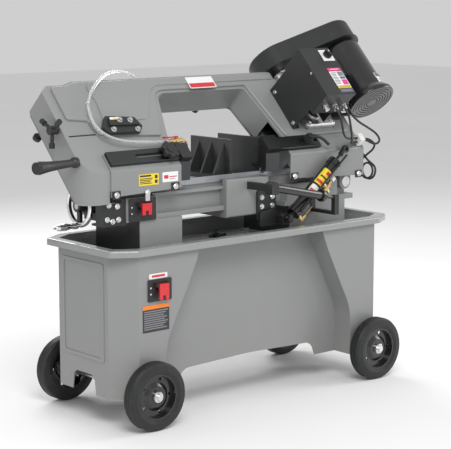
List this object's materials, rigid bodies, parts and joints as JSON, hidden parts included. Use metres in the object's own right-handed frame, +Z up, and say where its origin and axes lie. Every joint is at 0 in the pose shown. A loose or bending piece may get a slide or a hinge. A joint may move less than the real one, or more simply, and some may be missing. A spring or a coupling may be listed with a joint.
{
  "type": "horizontal and vertical metal-cutting band saw",
  "caption": "Metal-cutting band saw: a pivoting bow carries the blade over a bed with a screw vise, on a wheeled cabinet with a drip pan.",
  "frame": {"origin": "on the floor, under the centre of the whole machine's bounding box", "axes": "+X along the front towards the motor and pivot end, +Y to the back, +Z up"},
  "size_m": [1.3775, 0.5, 1.1446],
  "materials": {
    "cabinet_paint": "semi-gloss",
    "pan_paint": "gloss",
    "casting_paint": "painted semi-gloss",
    "guard_paint": "semi-gloss",
    "cover_paint": "satin",
    "black_oxide": "black oxide",
    "motor_paint": "gloss",
    "jaw_paint": "satin black",
    "tank_plastic": "matte",
    "tyre": "ribbed",
    "rim_paint": "gloss black",
    "bright_steel": "turned",
    "chrome": "polished",
    "wheel_iron": "machined",
    "gearbox_metal": "cast",
    "black_plastic": "moulded",
    "red_plastic": "moulded",
    "red_vinyl": "dipped",
    "white_plastic": "moulded",
    "brass": "satin",
    "belt_rubber": "matte",
    "cable_rubber": "matte",
    "clear_vinyl": "clear"
  },
  "bodies": {
    "base": {"stand_cabinet": "cabinet_paint", "drip_pan": "pan_paint", "coolant_tank": "tank_plastic", "wheel_axles": "bright_steel", "left_pedestal": "cabinet_paint", "right_pedestal": "cabinet_paint", "bed_casting": "casting_paint", "fixed_jaw": "jaw_paint", "vise_screw_bracket": "cover_paint", "shutoff_switch_box": "black_plastic", "cabinet_switch_box": "black_plastic", "pivot_shaft": "bright_steel", "cylinder_bracket": "cover_paint", "work_stop": "bright_steel", "balance_spring": "black_oxide"},
    "wheel_front_left": {"tyre_front_left": "tyre", "wheel_rim_front_left": "rim_paint"},
    "wheel_front_right": {"tyre_front_right": "tyre", "wheel_rim_front_right": "rim_paint"},
    "wheel_rear_left": {"tyre_rear_left": "tyre", "wheel_rim_rear_left": "rim_paint"},
    "wheel_rear_right": {"tyre_rear_right": "tyre", "wheel_rim_rear_right": "rim_paint"},
    "jaw": {"movable_jaw": "jaw_paint"},
    "screw": {"vise_screw": "bright_steel", "handwheel": "chrome"},
    "crank_grip": {"handwheel_grip": "chrome"},
    "shutoff": {"shutoff_paddle": "red_plastic"},
    "stand_switch": {"cabinet_paddle": "red_plastic"},
    "arm": {"bow_casting": "casting_paint", "wheel_cover": "cover_paint", "left_blade_guard": "guard_paint", "right_blade_guard": "guard_paint", "saw_blade": "bright_steel", "tracking_bracket": "cover_paint", "lift_handle": "black_plastic", "gearbox": "gearbox_metal", "motor": "motor_paint", "motor_mount": "cover_paint", "drive_belt": "belt_rubber", "control_box": "cover_paint", "cables": "cable_rubber", "coolant_hose": "clear_vinyl"},
    "tension_carriage": {"tension_slide": "cover_paint"},
    "idler": {"idler_wheel": "wheel_iron"},
    "tension_screw": {"tension_knob": "black_plastic"},
    "drive": {"drive_wheel": "wheel_iron"},
    "worm": {"worm_pulley": "wheel_iron"},
    "rotor": {"motor_pulley": "wheel_iron"},
    "left_guide": {"left_guide_bar": "black_oxide", "coolant_fitting": "brass"},
    "left_guide_lock": {"left_guide_knob": "black_plastic"},
    "coolant_lever": {"coolant_valve_lever": "red_vinyl"},
    "right_guide": {"right_guide_bar": "black_oxide"},
    "right_guide_lock": {"right_guide_lever": "black_plastic"},
    "cover": {"belt_cover": "cover_paint"},
    "dial": {"selector_dial": "black_plastic"},
    "cylinder": {"feed_cylinder": "motor_paint"},
    "piston": {"cylinder_rod": "bright_steel"},
    "feed_valve": {"feed_valve_knob": "white_plastic"}
  },
  "joints": [
    {"name": "wheel_front_left_spin", "type": "hinge", "parent": "base", "child": "wheel_front_left", "pos_m": [-0.383, -0.222, 0.1], "axis": [0, 1, 0], "continuous": true},
    {"name": "wheel_rear_left_spin", "type": "hinge", "parent": "base", "child": "wheel_rear_left", "pos_m": [-0.383, 0.218, 0.1], "axis": [0, 1, 0], "continuous": true},
    {"name": "wheel_front_right_spin", "type": "hinge", "parent": "base", "child": "wheel_front_right", "pos_m": [0.519, -0.222, 0.1], "axis": [0, 1, 0], "continuous": true},
    {"name": "wheel_rear_right_spin", "type": "hinge", "parent": "base", "child": "wheel_rear_right", "pos_m": [0.519, 0.218, 0.1], "axis": [0, 1, 0], "continuous": true},
    {"name": "arm_pivot", "type": "hinge", "parent": "base", "child": "arm", "pos_m": [0.518, -0.002, 0.628], "axis": [0, 1, 0], "range_deg": [0, 90]},
    {"name": "jaw_slide", "type": "slide", "parent": "base", "child": "jaw", "axis": [1, 0, 0], "range_m": [-0.1851, 0.0941]},
    {"name": "vise_screw_turn", "type": "hinge", "parent": "base", "child": "screw", "pos_m": [-0.437, 0.058, 0.622], "axis": [1, 0, 0], "range_deg": [-13320, 6768]},
    {"name": "crank_grip_spin", "type": "hinge", "parent": "screw", "child": "crank_grip", "pos_m": [-0.453, 0.058, 0.565], "axis": [1, 0, 0], "continuous": true},
    {"name": "shutoff_paddle_lift", "type": "hinge", "parent": "base", "child": "shutoff", "pos_m": [-0.314, -0.097, 0.6325], "axis": [-1, 0, 0], "range_deg": [0, 70]},
    {"name": "cabinet_paddle_lift", "type": "hinge", "parent": "base", "child": "stand_switch", "pos_m": [-0.3335, -0.2, 0.414], "axis": [-1, 0, 0], "range_deg": [0, 70]},
    {"name": "blade_tension", "type": "slide", "parent": "arm", "child": "tension_carriage", "axis": [1, 0, 0], "range_m": [0, 0.006]},
    {"name": "tension_knob_turn", "type": "hinge", "parent": "arm", "child": "tension_screw", "pos_m": [-0.55, 0.02482, 0.85281], "axis": [1, 0, 0], "range_deg": [0, 720.5]},
    {"name": "idler_spin", "type": "hinge", "parent": "tension_carriage", "child": "idler", "pos_m": [-0.368, 0.04519, 0.78815], "axis": [0, -0.7314, 0.682], "continuous": true},
    {"name": "drive_spin", "type": "hinge", "parent": "arm", "child": "drive", "pos_m": [0.402, 0.04519, 0.78815], "axis": [0, -0.7314, 0.682], "continuous": true},
    {"name": "worm_spin", "type": "hinge", "parent": "arm", "child": "worm", "pos_m": [0.438, 0.00716, 0.82361], "axis": [0, 0.682, 0.7314], "continuous": true},
    {"name": "motor_spin", "type": "hinge", "parent": "arm", "child": "rotor", "pos_m": [0.608, -0.08206, 0.90681], "axis": [0, 0.682, 0.7314], "continuous": true},
    {"name": "left_guide_slide", "type": "slide", "parent": "arm", "child": "left_guide", "axis": [1, 0, 0], "range_m": [0, 0.1]},
    {"name": "right_guide_slide", "type": "slide", "parent": "arm", "child": "right_guide", "axis": [1, 0, 0], "range_m": [-0.035, 0]},
    {"name": "left_guide_knob_turn", "type": "hinge", "parent": "arm", "child": "left_guide_lock", "pos_m": [-0.224, -0.09504, 0.78], "axis": [0, -0.7314, 0.682], "range_deg": [0, 360]},
    {"name": "right_guide_lever_turn", "type": "hinge", "parent": "arm", "child": "right_guide_lock", "pos_m": [0.336, -0.09504, 0.78], "axis": [0, -0.7314, 0.682], "range_deg": [-30, 60]},
    {"name": "coolant_lever_turn", "type": "hinge", "parent": "left_guide", "child": "coolant_lever", "pos_m": [-0.176, -0.068, 0.806], "axis": [0, 0, 1], "range_deg": [0, 90]},
    {"name": "belt_cover_hinge", "type": "hinge", "parent": "arm", "child": "cover", "pos_m": [0.49788, 0.19149, 0.92081], "axis": [-0.753, 0.4813, -0.4488], "range_deg": [0, 95]},
    {"name": "selector_turn", "type": "hinge", "parent": "arm", "child": "dial", "pos_m": [0.413, -0.09345, 1.0383], "axis": [0, -0.7314, 0.682], "range_deg": [0, 90]},
    {"name": "cylinder_tilt", "type": "hinge", "parent": "base", "child": "cylinder", "pos_m": [0.218, -0.132, 0.54], "axis": [0, 1, 0], "range_deg": [0, 21]},
    {"name": "piston_slide", "type": "slide", "parent": "cylinder", "child": "piston", "axis": [0.7703, 0, 0.6377], "range_m": [0, 0.1225]},
    {"name": "feed_valve_turn", "type": "hinge", "parent": "cylinder", "child": "feed_valve", "pos_m": [0.40657, -0.132, 0.64937], "axis": [0.7703, 0, 0.6377], "range_deg": [0, 270]}
  ],
  "couplings": [
    {"joint": "jaw_slide", "follows": "vise_screw_turn", "m_per_rad": 0.00079577},
    {"joint": "tension_knob_turn", "follows": "blade_tension", "rad_per_m": 2094.4},
    {"joint": "idler_spin", "follows": "drive_spin", "ratio": 1},
    {"joint": "worm_spin", "follows": "drive_spin", "ratio": 20},
    {"joint": "motor_spin", "follows": "drive_spin", "ratio": 41.16},
    {"joint": "cylinder_tilt", "follows": "arm_pivot", "ratio": 0.2267},
    {"joint": "piston_slide", "follows": "arm_pivot", "m_per_rad": 0.0774}
  ]
}
